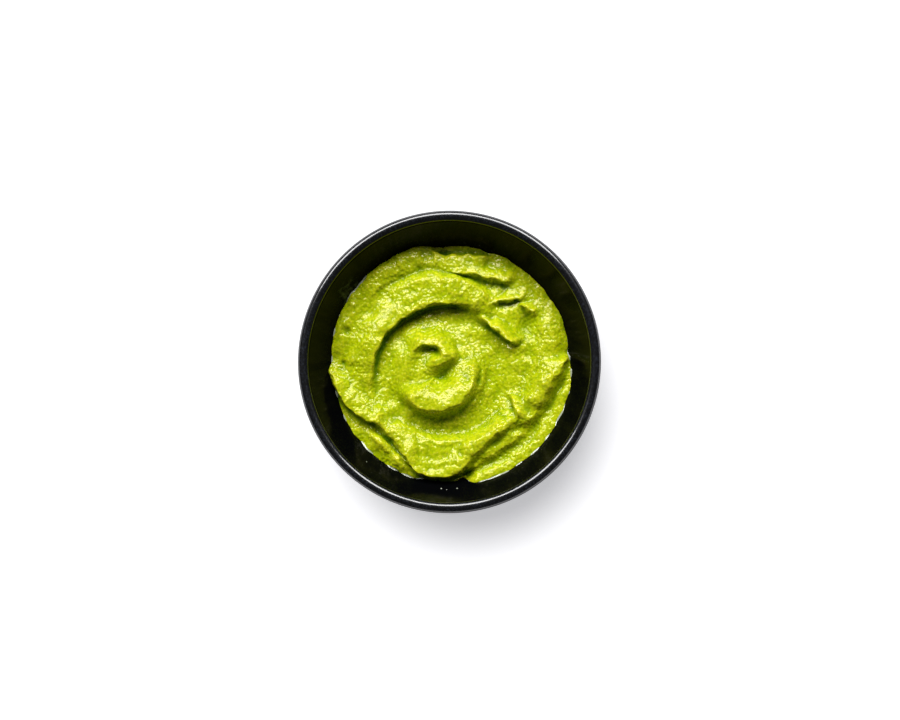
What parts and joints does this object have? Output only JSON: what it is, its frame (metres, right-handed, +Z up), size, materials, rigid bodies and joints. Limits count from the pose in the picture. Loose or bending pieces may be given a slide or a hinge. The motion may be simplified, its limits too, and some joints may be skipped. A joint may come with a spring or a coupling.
{
  "type": "guacamole in a dip bowl",
  "caption": "Guacamole swirled with a spoon into folds and a central mound, in a small round black stoneware dip bowl with a rounded rim.",
  "frame": {"origin": "centre of the circle that the bowl's foot ring stands on", "axes": "+Z up through the bowl's centre; +Y points to the top of the picture and +X to its right"},
  "size_m": [0.115, 0.115, 0.048],
  "materials": {
    "black_glaze": "satin black glaze with a fine speckle on the rim",
    "guacamole": "wet, grainy avocado mash, slightly translucent"
  },
  "bodies": {
    "root": {"bowl": "black_glaze", "guacamole": "guacamole"}
  },
  "joints": []
}
